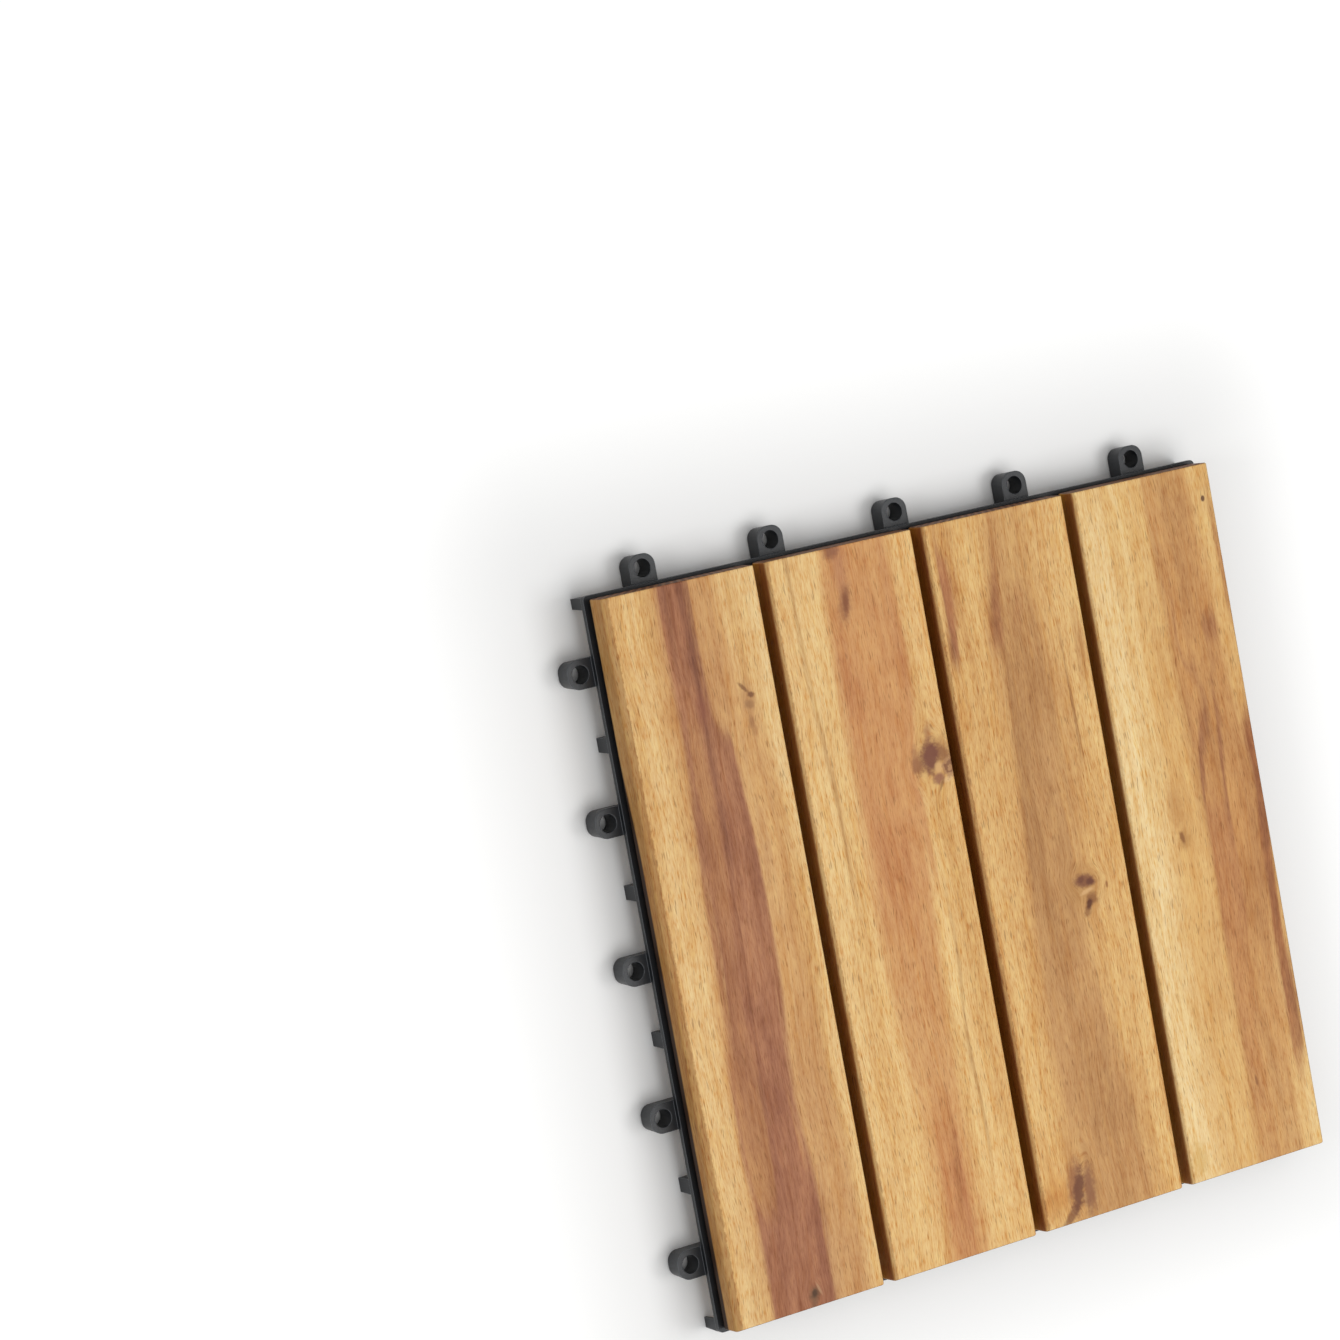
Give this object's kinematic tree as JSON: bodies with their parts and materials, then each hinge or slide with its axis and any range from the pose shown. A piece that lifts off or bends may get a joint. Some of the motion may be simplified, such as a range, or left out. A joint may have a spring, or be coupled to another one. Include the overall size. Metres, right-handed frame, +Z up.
{
  "type": "interlocking deck tile",
  "caption": "Square deck tile of hardwood slats screwed to an open plastic base that clicks to its neighbours by loops and pegs.",
  "frame": {"origin": "middle of the square base, on the floor it stands on", "axes": "+Z up; the slats run along Y; the loops stand out on the -X and +Y sides, the pegs hang under the rim on the +X and -Y sides"},
  "size_m": [0.3116, 0.3116, 0.024],
  "materials": {
    "base": "matt black moulded polypropylene",
    "slats": "oiled acacia, satin",
    "screws": "plain stainless steel"
  },
  "bodies": {
    "root": {"base_grid": "base", "slat_1": "slats", "slat_2": "slats", "slat_3": "slats", "slat_4": "slats", "slat_screws": "screws"}
  },
  "joints": []
}
